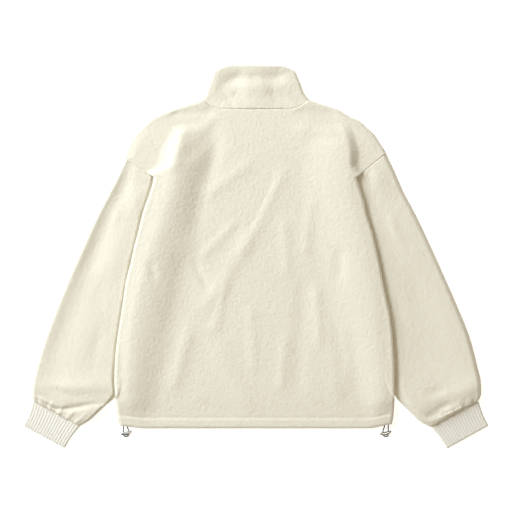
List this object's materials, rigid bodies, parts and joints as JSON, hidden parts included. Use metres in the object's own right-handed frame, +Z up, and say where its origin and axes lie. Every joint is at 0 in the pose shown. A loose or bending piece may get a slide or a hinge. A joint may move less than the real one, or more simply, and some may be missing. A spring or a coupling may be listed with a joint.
{
  "type": "fleece jacket",
  "caption": "Cream pile-fleece jacket laid flat, back up: stand collar, drop shoulders, full sleeves with rib-knit cuffs, stitched hem tunnel with elastic loops and metal toggles.",
  "frame": {"origin": "on the surface that the jacket lies on, below the middle of its outline", "axes": "+Z up off the surface, out of the jacket's back; +Y towards the collar; +X towards the sleeve at the picture's right"},
  "size_m": [0.956, 0.7874, 0.0296],
  "materials": {
    "fleece": "matt curly pile, soft sheen",
    "rib_knit": "matt rib knit",
    "zip_tape": "matt woven tape",
    "zip_teeth": "moulded, satin",
    "metal": "brushed nickel, slightly dull",
    "elastic": "matt braided elastic"
  },
  "bodies": {
    "jacket": {"back": "fleece", "front_left": "fleece", "front_right": "fleece", "collar": "fleece", "sleeve_left": "fleece", "sleeve_right": "fleece", "cuff_left": "rib_knit", "cuff_right": "rib_knit", "zip_tape_left": "zip_tape", "zip_tape_right": "zip_tape", "zip_chain": "zip_teeth", "zip_box": "metal", "zip_slider": "metal", "cord_left": "elastic", "cord_right": "elastic", "toggle_left": "metal", "toggle_right": "metal"},
    "pull_tab": {"zip_pull": "metal"}
  },
  "joints": [
    {"name": "zip_pull_swing", "type": "hinge", "parent": "jacket", "child": "pull_tab", "pos_m": [0, 0.36925, 0.0032], "axis": [1, 0, 0], "range_deg": [0, 170]}
  ]
}
